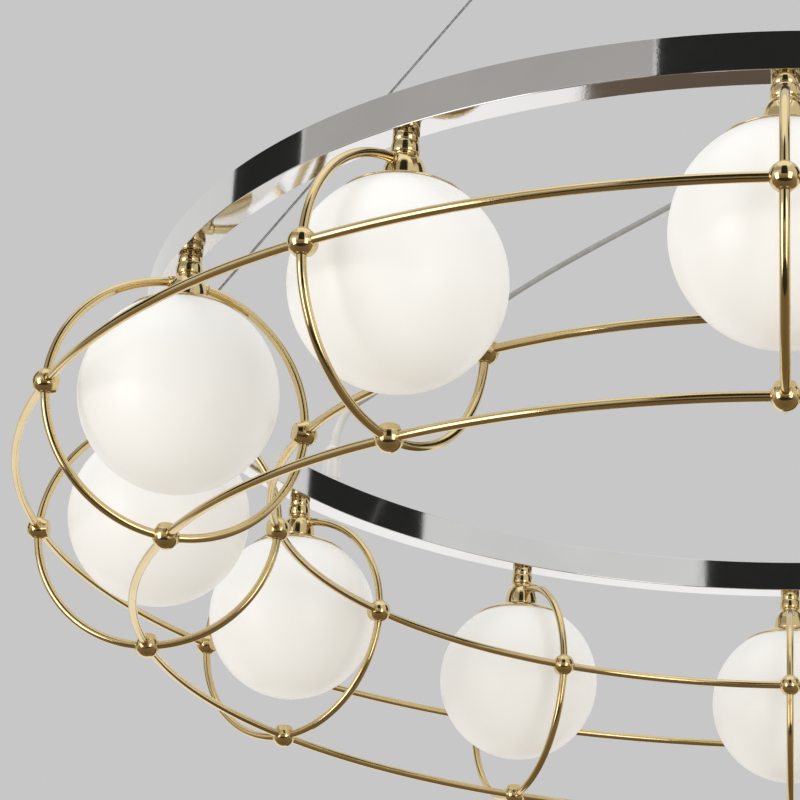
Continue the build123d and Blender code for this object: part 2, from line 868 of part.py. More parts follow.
cord_radii = []
for before, point, after in zip(cord_route, cord_route[1:], cord_route[2:]):
    shorter = min(math.dist(before, point), math.dist(point, after))
    cord_radii.append(0.45 * shorter / math.tan(turn_at(before, point, after) / 2))
print("cord radii", [round(radius, 1) for radius in cord_radii])
cord_plane = Plane(
    origin=(0, 0, ring_top),
    x_dir=(cosine(gland_angle), sine(gland_angle), 0),
    z_dir=(sine(gland_angle), -cosine(gland_angle), 0),
)
with BuildPart() as power_cord:
    with BuildLine(cord_plane) as cord_line:
        FilletPolyline(*cord_route, radius=cord_radii)
    with BuildSketch(Plane(origin=cord_line.line @ 0, z_dir=cord_line.line % 0)):
        Circle(cord_radius)
    sweep()
cord_length = sum(edge.length for edge in cord_line.line.edges())
print("cord length", round(cord_length, 1))
print("cord volume ratio", power_cord.part.volume / (math.pi * cord_radius**2 * cord_length))
save(power_cord, "power_cord")
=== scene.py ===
import json
import math

import bpy
import numpy as np
from mathutils import Matrix


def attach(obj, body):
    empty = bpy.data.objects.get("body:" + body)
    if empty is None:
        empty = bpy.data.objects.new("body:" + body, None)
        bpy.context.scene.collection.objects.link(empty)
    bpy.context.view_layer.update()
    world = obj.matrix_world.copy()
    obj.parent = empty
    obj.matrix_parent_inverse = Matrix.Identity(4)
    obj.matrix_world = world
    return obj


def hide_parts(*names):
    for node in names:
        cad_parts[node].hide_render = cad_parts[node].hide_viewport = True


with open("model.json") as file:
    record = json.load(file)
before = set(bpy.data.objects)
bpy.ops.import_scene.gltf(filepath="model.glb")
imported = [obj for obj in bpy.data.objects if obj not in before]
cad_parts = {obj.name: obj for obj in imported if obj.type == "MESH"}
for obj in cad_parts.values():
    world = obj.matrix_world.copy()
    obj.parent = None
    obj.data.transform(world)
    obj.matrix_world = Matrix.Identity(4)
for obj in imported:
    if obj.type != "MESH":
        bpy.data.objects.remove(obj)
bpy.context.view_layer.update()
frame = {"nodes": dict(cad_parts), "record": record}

# metres, the ceiling is z = 0; a lamp's own frame has x outward from the chandelier's axis
lampCircle = {"count": 12, "radius": 0.5165, "hoopHeight": -0.907, "globeHeight": -0.8957}
ringPlan = {"top": -0.753, "height": 0.0285, "width": 0.0205, "wall": 0.0015, "edge": 0.0006, "coverGap": 0.0001,
            "coverThickness": 0.0012, "sides": 540}


def turnAbout(points, degrees):
    # turn about the vertical axis by the rotation formula
    a = math.radians(degrees)
    x, y, z = points[..., 0], points[..., 1], points[..., 2]
    return np.stack([x * math.cos(a) - y * math.sin(a), x * math.sin(a) + y * math.cos(a), z], -1)


def lampAngle(number):
    return -90 - 30 * number


def atLamp(points, degrees, reach=lampCircle["radius"]):
    # from a lamp's own frame to the chandelier's
    return turnAbout(points + np.array([reach, 0, 0]), degrees)


def roundCorners(corners, radius, steps=5, loop=True):
    # each corner becomes a parabola between two points at the radius from it, with a support point beyond each
    p = np.asarray(corners, float)
    back, ahead = np.roll(p, 1, 0) - p, np.roll(p, -1, 0) - p
    back /= np.linalg.norm(back, axis=1)[:, None]
    ahead /= np.linalg.norm(ahead, axis=1)[:, None]
    r = np.broadcast_to(radius, len(p))[:, None]
    t = np.linspace(0, 1, steps)[None, :, None]
    a, b = (p + back * r)[:, None], (p + ahead * r)[:, None]
    curve = (1 - t) ** 2 * a + 2 * t * (1 - t) * p[:, None] + t ** 2 * b
    full = np.concatenate([(p + back * r * 1.3)[:, None], curve, (p + ahead * r * 1.3)[:, None]], 1)
    if not loop:
        full = full[1:-1]
        return np.concatenate([p[:1], full.reshape(-1, 2), p[-1:]])
    return full.reshape(-1, 2)


def lathe(profile, sides=64):
    # a profile of (reach, height) turned about the vertical: reach cos u, reach sin u, height
    profile = np.asarray(profile, float)
    u = np.linspace(0, 2 * math.pi, sides, endpoint=False)
    r, z = profile[:, 0, None], profile[:, 1, None]
    return np.stack([r * np.cos(u), r * np.sin(u), z + 0 * u], -1)


def sweep(path, radii, up, sides=20):
    # a circle carried along a path: path + radius (cos v side + sin v lift)
    path = np.asarray(path, float)
    t = np.gradient(path, axis=0)
    t /= np.linalg.norm(t, axis=1)[:, None]
    side = np.cross(t, np.broadcast_to(np.asarray(up, float), t.shape))
    side /= np.linalg.norm(side, axis=1)[:, None]
    lift = np.cross(side, t)
    v = np.linspace(0, 2 * math.pi, sides, endpoint=False)[None, :, None]
    r = np.broadcast_to(radii, len(path))[:, None, None]
    return path[:, None] + r * (np.cos(v) * side[:, None] + np.sin(v) * lift[:, None])


def skin(grid, ends=(True, True), loopRows=False):
    # quads between the rows of a grid, with a fan of triangles over each end
    rows, cols = grid.shape[:2]
    i, j = np.meshgrid(np.arange(rows if loopRows else rows - 1), np.arange(cols), indexing="ij")
    i2, j2 = (i + 1) % rows, (j + 1) % cols
    quads = np.stack([i * cols + j, i * cols + j2, i2 * cols + j2, i2 * cols + j], -1).reshape(-1, 4)
    points, k, fans = [grid.reshape(-1, 3)], np.arange(cols), []
    if not loopRows:
        for end, row in ((0, 0), (1, rows - 1)):
            if ends[end]:
                hub = sum(len(p) for p in points)
                points.append(grid[row].mean(0)[None])
                rim = np.stack([row * cols + k, row * cols + (k + 1) % cols], -1)
                rim = rim[:, ::-1] if end == 0 else rim
                fans.append(np.column_stack([rim, np.full(cols, hub)]))
    points = np.concatenate(points)
    tris = np.concatenate([quads[:, [0, 1, 2]], quads[:, [0, 2, 3]], *fans])
    a, b, c = points[tris[:, 0]], points[tris[:, 1]], points[tris[:, 2]]
    inward = np.einsum("ij,ij->i", a - points.mean(0), np.cross(b - points.mean(0), c - points.mean(0))).sum() < 0
    if inward:
        quads, fans = quads[:, ::-1], [f[:, ::-1] for f in fans]
    return points, [quads, *fans]


def makePiece(name, skins, material, body="chandelier", replaces=()):
    # joins skins into one mesh and hangs it on its body
    points = np.concatenate([s[0] for s in skins])
    faces, start = [], 0
    for p, groups in skins:
        for group in groups:
            faces += (group + start).tolist()
        start += len(p)
    mesh = bpy.data.meshes.new(name)
    mesh.from_pydata(points.tolist(), [], faces)
    mesh.polygons.foreach_set("use_smooth", np.ones(len(faces), bool))
    mesh.update()
    mesh.materials.append(material)
    piece = bpy.data.objects.new(name, mesh)
    bpy.context.scene.collection.objects.link(piece)
    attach(piece, body)
    if replaces:
        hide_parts(*replaces)
    return piece


def moved(shape, degrees, reach=lampCircle["radius"]):
    return atLamp(shape[0], degrees, reach), shape[1]


def atEveryLamp(shapes, half=0):
    return [moved(s, lampAngle(n + half)) for n in range(lampCircle["count"]) for s in shapes]


def nodeMaterial(name, settings):
    # two close tones and a roughness range, both driven by noise in the piece's own space, and a fine bump
    material = bpy.data.materials.new(name)
    material.use_nodes = True
    nodes, links = material.node_tree.nodes, material.node_tree.links
    shader = nodes["Principled BSDF"]
    for socket, value in settings.get("shader", {}).items():
        shader.inputs[socket].default_value = value
    place = nodes.new("ShaderNodeTexCoord")
    grain = nodes.new("ShaderNodeTexNoise")
    grain.inputs["Scale"].default_value = settings["toneScale"]
    grain.inputs["Detail"].default_value = 4
    links.new(place.outputs["Object"], grain.inputs["Vector"])
    tones = nodes.new("ShaderNodeValToRGB")
    tones.color_ramp.elements[0].position, tones.color_ramp.elements[1].position = 0.35, 0.65
    tones.color_ramp.elements[0].color = (*settings["tones"][0], 1)
    tones.color_ramp.elements[1].color = (*settings["tones"][1], 1)
    links.new(grain.outputs["Fac"], tones.inputs["Fac"])
    links.new(tones.outputs["Color"], shader.inputs["Base Color"])
    wear = nodes.new("ShaderNodeTexNoise")
    wear.inputs["Scale"].default_value = settings["wearScale"]
    wear.inputs["Detail"].default_value = 6
    links.new(place.outputs["Object"], wear.inputs["Vector"])
    spread = nodes.new("ShaderNodeMapRange")
    spread.inputs["To Min"].default_value, spread.inputs["To Max"].default_value = settings["roughness"]
    links.new(wear.outputs["Fac"], spread.inputs["Value"])
    links.new(spread.outputs["Result"], shader.inputs["Roughness"])
    fine = nodes.new("ShaderNodeTexNoise")
    fine.inputs["Scale"].default_value = settings["bumpScale"]
    links.new(place.outputs["Object"], fine.inputs["Vector"])
    bump = nodes.new("ShaderNodeBump")
    bump.inputs["Strength"].default_value = settings["bump"]
    bump.inputs["Distance"].default_value = 0.0005
    links.new(fine.outputs["Fac"], bump.inputs["Height"])
    links.new(bump.outputs["Normal"], shader.inputs["Normal"])
    return material


polishedBrass = nodeMaterial("polishedBrass", {
    "tones": ((0.70, 0.545, 0.275), (0.76, 0.605, 0.33)), "toneScale": 30, "wearScale": 60, "roughness": (0.07, 0.16),
    "bumpScale": 900, "bump": 0.03, "shader": {"Metallic": 1.0}})
mirrorChrome = nodeMaterial("mirrorChrome", {
    "tones": ((0.76, 0.76, 0.77), (0.82, 0.82, 0.83)), "toneScale": 8, "wearScale": 40, "roughness": (0.03, 0.09),
    "bumpScale": 500, "bump": 0.015, "shader": {"Metallic": 1.0}})
# satin nickel with a faint painted glow: its emission makes the gland paler than the lamps alone light it
satinNickelPaintedGlow = nodeMaterial("satinNickelPaintedGlow", {
    "tones": ((0.80, 0.79, 0.77), (0.86, 0.85, 0.83)), "toneScale": 20, "wearScale": 60, "roughness": (0.38, 0.48),
    "bumpScale": 900, "bump": 0.04, "shader": {"Metallic": 0.2, "Emission Color": (1, 0.99, 0.97, 1), "Emission Strength": 0.05}})
platedSteel = nodeMaterial("platedSteel", {
    "tones": ((0.55, 0.56, 0.57), (0.66, 0.67, 0.68)), "toneScale": 60, "wearScale": 90, "roughness": (0.22, 0.38),
    "bumpScale": 1500, "bump": 0.1, "shader": {"Metallic": 1.0}})
wireSteel = nodeMaterial("wireSteel", {
    "tones": ((0.30, 0.305, 0.31), (0.46, 0.465, 0.47)), "toneScale": 300, "wearScale": 400, "roughness": (0.25, 0.4),
    "bumpScale": 2500, "bump": 0.15, "shader": {"Metallic": 1.0}})
opalGlass = nodeMaterial("opalGlass", {
    "tones": ((0.865, 0.86, 0.845), (0.885, 0.88, 0.87)), "toneScale": 6, "wearScale": 12, "roughness": (0.34, 0.44),
    "bumpScale": 60, "bump": 0.01,
    "shader": {"Emission Color": (1.0, 0.985, 0.955, 1), "Emission Strength": 0.165, "Coat Weight": 0.1, "Coat Roughness": 0.2}})
cordPlastic = nodeMaterial("cordPlastic", {
    "tones": ((0.36, 0.36, 0.36), (0.41, 0.41, 0.41)), "toneScale": 90, "wearScale": 60, "roughness": (0.38, 0.5),
    "bumpScale": 1200, "bump": 0.12})
palePlastic = nodeMaterial("palePlastic", {
    "tones": ((0.74, 0.735, 0.72), (0.79, 0.785, 0.77)), "toneScale": 90, "wearScale": 60, "roughness": (0.4, 0.55),
    "bumpScale": 1200, "bump": 0.12})
holderCeramic = nodeMaterial("holderCeramic", {
    "tones": ((0.74, 0.72, 0.68), (0.80, 0.785, 0.74)), "toneScale": 40, "wearScale": 30, "roughness": (0.15, 0.3),
    "bumpScale": 700, "bump": 0.08})
darkRubber = nodeMaterial("darkRubber", {
    "tones": ((0.02, 0.02, 0.02), (0.035, 0.035, 0.035)), "toneScale": 120, "wearScale": 80, "roughness": (0.6, 0.8),
    "bumpScale": 1500, "bump": 0.2})
print("finishes ready")

photoCamera = {"place": (0.0070225, -2.1583223, -1.7029949), "yaw": 0.1505, "pitch": 0.3954, "roll": 0.0557, "focalPixels": 2841.5168}
yaw, pitch, roll = (photoCamera[k] for k in ("yaw", "pitch", "roll"))
ahead = np.array([-math.sin(yaw) * math.cos(pitch), math.cos(yaw) * math.cos(pitch), math.sin(pitch)])
right = np.array([math.cos(yaw), math.sin(yaw), 0])
above = np.cross(right, ahead)
tiltRight = right * math.cos(roll) + above * math.sin(roll)
tiltAbove = above * math.cos(roll) - right * math.sin(roll)
lens = bpy.data.cameras.new("photoCamera")
lens.sensor_width, lens.lens = 36, 36 * photoCamera["focalPixels"] / 800
lens.clip_start, lens.clip_end = 0.05, 60
camera = bpy.data.objects.new("photoCamera", lens)
turn = np.eye(4)
turn[:3, 0], turn[:3, 1], turn[:3, 2], turn[:3, 3] = tiltRight, tiltAbove, -ahead, photoCamera["place"]
camera.matrix_world = Matrix(turn.tolist())
bpy.context.scene.collection.objects.link(camera)
bpy.context.scene.camera = camera

cordPlan = {
    "angle": 145.5, "radius": 0.0025,
    "route": ((516.5, 17.0), (516.5, 67.0), (468.0, 78.7), (400.0, 104.5), (332.0, 128.0), (264.0, 147.0), (196.0, 160.5),
              (128.0, 173.0), (62.0, 186.0), (0.0, 201.0), (-41.0, 214.0), (-44.0, 284.0), (-46.0, 354.0), (-46.5, 424.0),
              (-46.0, 494.0), (-44.5, 564.0), (-42.0, 634.0), (-40.0, 703.0))}


def inCordPlane(reachHeight):
    # reach and height above the ring, in millimetres, in the upright plane of the gland
    rh = np.asarray(reachHeight, float) / 1000
    flat = np.stack([rh[:, 0], 0 * rh[:, 0], rh[:, 1] + ringPlan["top"]], -1)
    return turnAbout(flat, cordPlan["angle"])


cordPoints = inCordPlane(cordPlan["route"])
cordCurve = bpy.data.curves.new("powerCord", "CURVE")
cordCurve.dimensions = "3D"
cordSpline = cordCurve.splines.new("NURBS")
cordSpline.points.add(len(cordPoints) - 1)
cordSpline.points.foreach_set("co", np.column_stack([cordPoints, np.ones(len(cordPoints))]).ravel())
cordSpline.order_u, cordSpline.use_endpoint_u = 3, True
cordSpline.resolution_u = 12
plainLine = bpy.data.objects.new("cordLine", cordCurve)
bpy.context.scene.collection.objects.link(plainLine)
lineMesh = bpy.data.meshes.new_from_object(plainLine)
cordLine = np.array([v.co for v in lineMesh.vertices])
bpy.data.objects.remove(plainLine)
cordCurve.bevel_depth, cordCurve.bevel_resolution, cordCurve.use_fill_caps = cordPlan["radius"], 5, True
cordCurve.materials.append(cordPlastic)
powerCord = bpy.data.objects.new("powerCord", cordCurve)
bpy.context.scene.collection.objects.link(powerCord)
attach(powerCord, "chandelier")
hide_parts("power_cord")
cordLength = float(np.linalg.norm(np.diff(cordLine, axis=0), axis=1).sum())
print("cord", round(cordLength, 3))

cablePlan = {"angles": (180.0, 60.0, -60.0), "pinHeight": -0.737, "pivotHeight": -0.030, "start": 0.014, "length": 0.8479,
             "radius": 0.0011, "strands": 6, "pitch": 0.011, "lobe": 0.16, "rows": 760, "sides": 24}


def twistedCable(path, plan):
    # a six-lobed section that turns as it runs: reach = radius (1 - lobe + lobe |cos(half strands (v - twist))|)
    t = (path[-1] - path[0]) / np.linalg.norm(path[-1] - path[0])
    side = np.cross(t, [0, 0, 1.0])
    side /= np.linalg.norm(side)
    lift = np.cross(side, t)
    run = np.linalg.norm(path - path[0], axis=1)[:, None]
    v = np.linspace(0, 2 * math.pi, plan["sides"], endpoint=False)[None]
    wave = np.abs(np.cos(plan["strands"] / 2 * (v - 2 * math.pi * run / plan["pitch"])))
    reach = (plan["radius"] * (1 - plan["lobe"] + plan["lobe"] * wave))[..., None]
    return path[:, None] + reach * (np.cos(v)[..., None] * side + np.sin(v)[..., None] * lift)


for number, angle in enumerate(cablePlan["angles"], 1):
    pin = turnAbout(np.array([lampCircle["radius"], 0, cablePlan["pinHeight"]]), angle)
    toPivot = np.array([0, 0, cablePlan["pivotHeight"]]) - pin
    toPivot /= np.linalg.norm(toPivot)
    along = cablePlan["start"] + np.linspace(0, cablePlan["length"], cablePlan["rows"])
    line = pin + along[:, None] * toPivot
    cable = makePiece(f"suspensionCable{number}", [skin(twistedCable(line, cablePlan))], wireSteel,
                      replaces=(f"suspension_cable_{number}",))
print("cables ready")

globePlan = {"radius": 0.075, "wall": 0.003, "collar": 0.0132, "bore": 0.0104, "collarTop": -0.81304, "rows": 72, "sides": 112}


def globeShell(plan):
    # outer arc from the collar to the bottom pole, then the inner arc back up: reach = R sin a, height = centre + R cos a
    R, r, c = plan["radius"], plan["radius"] - plan["wall"], lampCircle["globeHeight"]
    outStart, inStart = math.asin(plan["collar"] / R), math.asin(plan["bore"] / r)
    a = np.linspace(outStart, math.pi, plan["rows"])[:-1]
    b = np.linspace(math.pi, inStart, plan["rows"] // 2)[1:]
    top = plan["collarTop"]
    outer = np.column_stack([R * np.sin(a), c + R * np.cos(a)])
    inner = np.column_stack([r * np.sin(b), c + r * np.cos(b)])
    lip = [(plan["collar"], top - 0.0006), (plan["collar"] - 0.0006, top), (plan["bore"] + 0.0006, top), (plan["bore"], top - 0.0006)]
    outSkin = np.vstack([[(plan["bore"] + 0.0006, top), lip[1], lip[0]], outer])
    inSkin = np.vstack([inner, [lip[3], lip[2]]])
    return outSkin, inSkin


def closedShell(outer, inner, sides):
    # both arcs end on the axis: one grid from the rim round the bottom to the rim again, closed at each pole
    rings = np.concatenate([lathe(outer, sides), lathe(inner, sides)])
    cols, rows = sides, len(rings)
    n = len(outer)
    points = [rings.reshape(-1, 3), [[0, 0, outer[-1, 1] - 0.0001]], [[0, 0, inner[0, 1]]]]
    hubOut, hubIn = rows * cols, rows * cols + 1
    def band(first, last):
        i, j = np.meshgrid(np.arange(first, last), np.arange(cols), indexing="ij")
        return np.stack([i * cols + j, (i + 1) * cols + j, (i + 1) * cols + (j + 1) % cols, i * cols + (j + 1) % cols], -1).reshape(-1, 4)
    k = np.arange(cols)
    seam = np.stack([(rows - 1) * cols + k, k, (k + 1) % cols, (rows - 1) * cols + (k + 1) % cols], -1)
    fanOut = np.column_stack([(n - 1) * cols + k, np.full(cols, hubOut), (n - 1) * cols + (k + 1) % cols])
    fanIn = np.column_stack([np.full(cols, hubIn), n * cols + k, n * cols + (k + 1) % cols])
    return np.concatenate(points), [band(0, n - 1), band(n, rows - 1), seam, fanOut, fanIn]


globeSkin = closedShell(*globeShell(globePlan), globePlan["sides"])
for number in range(lampCircle["count"]):
    makePiece(f"globe{number + 1:02d}", [moved(globeSkin, lampAngle(number))], opalGlass, f"shade_{number + 1:02d}",
              (f"globe_{number + 1:02d}",))
print("globes ready")

rodPlan = {"radius": 0.0034, "hoopRadius": 0.101, "rootReach": 0.007, "endReach": 0.005, "sides": 24, "rows": 56}


def hoopPath(startDegrees, endDegrees, rows, radius=rodPlan["hoopRadius"]):
    a = np.radians(np.linspace(startDegrees, endDegrees, rows))
    return np.stack([radius * np.cos(a), 0 * a, lampCircle["hoopHeight"] + radius * np.sin(a)], -1)


def railPath(reach, height, startDegrees, endDegrees, rows):
    # an arc about the chandelier's axis, written in a lamp's own frame
    a = np.radians(np.linspace(startDegrees, endDegrees, rows))
    return np.stack([reach * np.cos(a) - lampCircle["radius"], reach * np.sin(a), height + 0 * a], -1)


rootTurn = math.degrees(math.asin(rodPlan["rootReach"] / rodPlan["hoopRadius"]))
endTurn = math.degrees(rodPlan["endReach"] / rodPlan["hoopRadius"])
hoopArcs = [(endTurn, 90 - rootTurn), (-90 + endTurn, -endTurn), (180 + endTurn, 270 - endTurn), (90 + rootTurn, 180 - endTurn)]
hoopSkins = [skin(sweep(hoopPath(a, b, rodPlan["rows"]), rodPlan["radius"], (0, 1, 0), rodPlan["sides"])) for a, b in hoopArcs]
for number in range(lampCircle["count"]):
    makePiece(f"hoop{number + 1:02d}", [moved(s, lampAngle(number)) for s in hoopSkins], polishedBrass,
              replaces=(f"hoop_{number + 1:02d}",))

hoopSize = rodPlan["hoopRadius"]
railPlan = (("outerRail", "outer_rail", hoopSize, 0), ("bottomRail", "bottom_rail", 0, -hoopSize), ("innerRail", "inner_rail", -hoopSize, 0))
for name, node, offset, drop in railPlan:
    reach = lampCircle["radius"] + offset
    gap = math.degrees(rodPlan["endReach"] / reach)
    path = railPath(reach, lampCircle["hoopHeight"] + drop, gap, 30 - gap, 60)
    makePiece(name, atEveryLamp([skin(sweep(path, rodPlan["radius"], (0, 0, 1), rodPlan["sides"]))]), polishedBrass, replaces=(node,))
print("hoops and rails ready")

ballPlan = {"radius": 0.010, "shoulder": 60, "flatRadius": 0.0069, "flat": 0.0086, "beadRing": 0.0043, "beadReach": 0.0089,
            "bead": 0.00035, "sides": 48, "beadSides": 28}


def ballSkins(angle, plan):
    # a sphere turned down to a short cone and a flat face; the joint's axis points at the middle of the hoop
    a = math.radians(angle)
    centre = np.array([hoopSize * math.cos(a), 0, lampCircle["hoopHeight"] + hoopSize * math.sin(a)])
    axis = np.array([-math.cos(a), 0, -math.sin(a)])
    across = np.array([math.sin(a), 0, -math.cos(a)])
    frameRows = np.stack([across, np.cross(axis, across), axis])
    s = np.radians(np.linspace(178, plan["shoulder"], 36))
    sphere = np.column_stack([plan["radius"] * np.sin(s), plan["radius"] * np.cos(s)])
    rim, face = plan["flatRadius"], plan["flat"]
    nose = [(rim + 0.0012, face - 0.0022), (rim + 0.0006, face - 0.0010), (rim + 0.0003, face - 0.0003), (rim - 0.0001, face),
            (rim - 0.0005, face + 0.0001), (0.0004, face + 0.0001)]
    shapes = [skin(lathe(np.vstack([sphere, nose]), plan["sides"]) @ frameRows + centre)]
    # a small bead round each of the four rod seats: a ring of circles about the rod
    v = np.linspace(0, 2 * math.pi, 9)[:-1]
    section = np.column_stack([plan["beadRing"] + plan["bead"] * np.cos(v), plan["beadReach"] + plan["bead"] * np.sin(v)])
    rimRing = lathe(section, plan["beadSides"])
    for out in (across, -across, np.array([0, 1.0, 0]), np.array([0, -1.0, 0])):
        shapes.append(skin(rimRing @ np.stack([axis, np.cross(out, axis), out]) + centre, loopRows=True))
    return shapes


jointPlan = (("outerBallJoints", "outer_ball_joints", 0), ("bottomBallJoints", "bottom_ball_joints", -90),
             ("innerBallJoints", "inner_ball_joints", 180))
for name, node, angle in jointPlan:
    makePiece(name, atEveryLamp(ballSkins(angle, ballPlan)), polishedBrass, replaces=(node,))
print("ball joints ready")

socketPlan = {"mouth": -0.82064, "lip": 0.0032, "bell": 0.0155, "waist": 0.0085, "domeTop": -0.8021, "bore": 0.01328,
              "bead": 0.0103, "beadFoot": -0.7993, "beadHead": -0.7903, "neck": 0.0093, "ring": -0.7815, "sides": 64}


def socketProfile(plan):
    # a full dome from the lip to the waist, one fat bead above it, then a plain neck up to the ring
    lipTop = plan["mouth"] + plan["lip"]
    rise = plan["domeTop"] - lipTop
    a = np.radians(np.linspace(0, 86, 26))
    dome = np.column_stack([plan["waist"] + (plan["bell"] - plan["waist"]) * np.cos(a) ** 0.9, lipTop + rise * np.sin(a)])
    b = np.radians(np.linspace(-90, 90, 19))
    middle, half = (plan["beadFoot"] + plan["beadHead"]) / 2, (plan["beadHead"] - plan["beadFoot"]) / 2
    foot = plan["waist"] + 0.0002
    bead = np.column_stack([foot + (plan["bead"] - foot) * np.cos(b) ** 0.6, middle + half * np.sin(b)])
    return np.vstack([
        [(plan["bore"], plan["mouth"] + 0.009), (plan["bore"], plan["mouth"] + 0.0005), (plan["bore"] + 0.0003, plan["mouth"])],
        [(plan["bell"] - 0.0004, plan["mouth"]), (plan["bell"], plan["mouth"] + 0.0004), (plan["bell"], plan["mouth"] + 0.0016)],
        dome,
        [(plan["waist"], plan["domeTop"] + 0.0005), (plan["waist"], plan["beadFoot"] - 0.0002)], bead,
        [(plan["neck"], plan["beadHead"] + 0.0006), (plan["neck"], plan["ring"] + 0.0004)]])


bossPlan = {"from": 0.0085, "to": 0.0158, "radius": 0.0046, "rows": 12, "sides": 28}


def bossSkin(sign, plan):
    # the collar round the hoop's end, along the hoop's own circle
    start, end = (math.degrees(math.asin(plan[k] / hoopSize)) for k in ("from", "to"))
    path = hoopPath(90 - sign * start, 90 - sign * end, plan["rows"])
    radii = np.full(plan["rows"], plan["radius"])
    radii[-1], radii[-2] = 0.0041, 0.0045
    return skin(sweep(path, radii, (0, 1, 0), plan["sides"]))


socketSkins = [skin(lathe(socketProfile(socketPlan), socketPlan["sides"])), bossSkin(1, bossPlan), bossSkin(-1, bossPlan)]
makePiece("lampSockets", atEveryLamp(socketSkins), polishedBrass, replaces=("lamp_sockets",))

capPlan = {"gap": 0.0003, "sheet": 0.001, "bore": 0.014, "landing": 0.0165, "half": 34.5, "sides": 72}


def capProfile(plan):
    # a thin dish over the globe: two arcs about the globe's centre, joined round the rim, and a flat landing
    c = lampCircle["globeHeight"]
    inner = globePlan["radius"] + plan["gap"]
    outer = globePlan["radius"] + plan["gap"] + plan["sheet"]
    a = np.radians(np.linspace(math.degrees(math.asin(plan["bore"] / inner)), plan["half"], 24))
    b = np.radians(np.linspace(plan["half"] - 0.15, math.degrees(math.asin(plan["landing"] / outer)), 24))
    rim = np.radians(plan["half"] + 0.25)
    middle = (inner + outer) / 2
    mouth = socketPlan["mouth"]
    return np.vstack([
        np.column_stack([inner * np.sin(a), c + inner * np.cos(a)]), [[middle * math.sin(rim), c + middle * math.cos(rim)]],
        np.column_stack([outer * np.sin(b), c + outer * np.cos(b)]),
        [(plan["landing"], mouth - 0.0003), (plan["landing"] - 0.0003, mouth), (plan["bore"], mouth)]])


capSkin = skin(lathe(capProfile(capPlan), capPlan["sides"]), loopRows=True)
makePiece("galleryCaps", atEveryLamp([capSkin]), polishedBrass, replaces=("gallery_caps",))
print("sockets and caps ready")


def ringProfiles(plan):
    # a channel open at the top, and the strip that closes it
    inner, outer = lampCircle["radius"] - plan["width"] / 2, lampCircle["radius"] + plan["width"] / 2
    low, top, w = plan["top"] - plan["height"], plan["top"], plan["wall"]
    channel = roundCorners([(outer, low), (outer, top), (outer - w, top), (outer - w, low + w),
                            (inner + w, low + w), (inner + w, top), (inner, top), (inner, low)],
                           [plan["edge"], 0.0003, 0.0003, 0.0002, 0.0002, 0.0003, 0.0003, plan["edge"]])
    coverOut, coverIn, coverLow = outer - w - plan["coverGap"], inner + w + plan["coverGap"], top - plan["coverThickness"]
    cover = roundCorners([(coverOut, coverLow), (coverOut, top), (coverIn, top), (coverIn, coverLow)], 0.0002)
    return channel, cover


channelProfile, coverProfile = ringProfiles(ringPlan)
for name, node, profile in (("ringChannel", "ring_channel", channelProfile), ("ringCover", "ring_cover", coverProfile)):
    ringSkin = skin(lathe(profile, ringPlan["sides"]), loopRows=True)
    makePiece(name, [ringSkin], mirrorChrome, replaces=(node,))

# a domed head with a round socket
headProfile = np.array([(0.0028, -0.0002), (0.003, 0.0002), (0.003, 0.0009), (0.0027, 0.0014), (0.0021, 0.0016), (0.0013, 0.0016),
                        (0.0011, 0.0015), (0.0011, 0.0007), (0.0002, 0.0006)]) + [0, ringPlan["top"]]
makePiece("coverScrews", atEveryLamp([skin(lathe(headProfile, 24))], half=0.5), platedSteel, replaces=("cover_screws",))
print("ring ready")

glandPlan = {"radius": 0.0082, "bodyTop": 0.024, "capTop": 0.036, "bore": 0.0026, "dome": 0.003, "sides": 64}


def glandSkins(plan):
    # a plain barrel with a groove at its foot, and a domed cap
    base, r, dome = ringPlan["top"], plan["radius"], plan["dome"]
    split, top = base + plan["bodyTop"], base + plan["capTop"]
    body = roundCorners([(0.0002, base), (r, base), (r, base + 0.0030), (r - 0.0004, base + 0.0032), (r - 0.0004, base + 0.0040),
                         (r, base + 0.0042), (r, split), (0.0002, split)], 0.0003, 3, loop=False)
    a = np.radians(np.linspace(0, 90, 14))
    arc = np.column_stack([r - dome + dome * np.cos(a), top - dome + dome * np.sin(a)])
    cap = np.vstack([[(plan["bore"], split), (r - 0.0004, split), (r, split + 0.0004)], arc,
                     [(plan["bore"] + 0.0006, top), (plan["bore"], top - 0.0006)]])
    return skin(lathe(body, plan["sides"])), skin(lathe(cap, plan["sides"]), loopRows=True)


glandBody, glandCap = glandSkins(glandPlan)
makePiece("glandBody", [moved(glandBody, cordPlan["angle"])], satinNickelPaintedGlow, replaces=("gland_body",))
makePiece("glandCap", [moved(glandCap, cordPlan["angle"])], satinNickelPaintedGlow, replaces=("gland_cap",))

# pale sleeve that keeps the cord from kinking where it leaves the gland
sleevePlan = {"start": 0.0105, "length": 0.058, "foot": 0.0049, "tip": 0.0033, "rows": 44, "sides": 36}


def sleeveSkin(plan):
    # the cord's own line carried on with a radius that tapers, rounded at each end
    run = np.concatenate([[0], np.cumsum(np.linalg.norm(np.diff(cordLine, axis=0), axis=1))])
    along = np.linspace(plan["start"], plan["start"] + plan["length"], plan["rows"])
    path = np.stack([np.interp(along, run, cordLine[:, k]) for k in range(3)], -1)
    radii = np.linspace(plan["foot"], plan["tip"], plan["rows"])
    radii[-1], radii[-2] = plan["tip"] - 0.0006, plan["tip"] - 0.0001
    side = turnAbout(np.array([0, 1.0, 0]), cordPlan["angle"])
    return skin(sweep(path, radii, side, plan["sides"]))


makePiece("cordSleeve", [sleeveSkin(sleevePlan)], palePlastic)
print("gland ready")

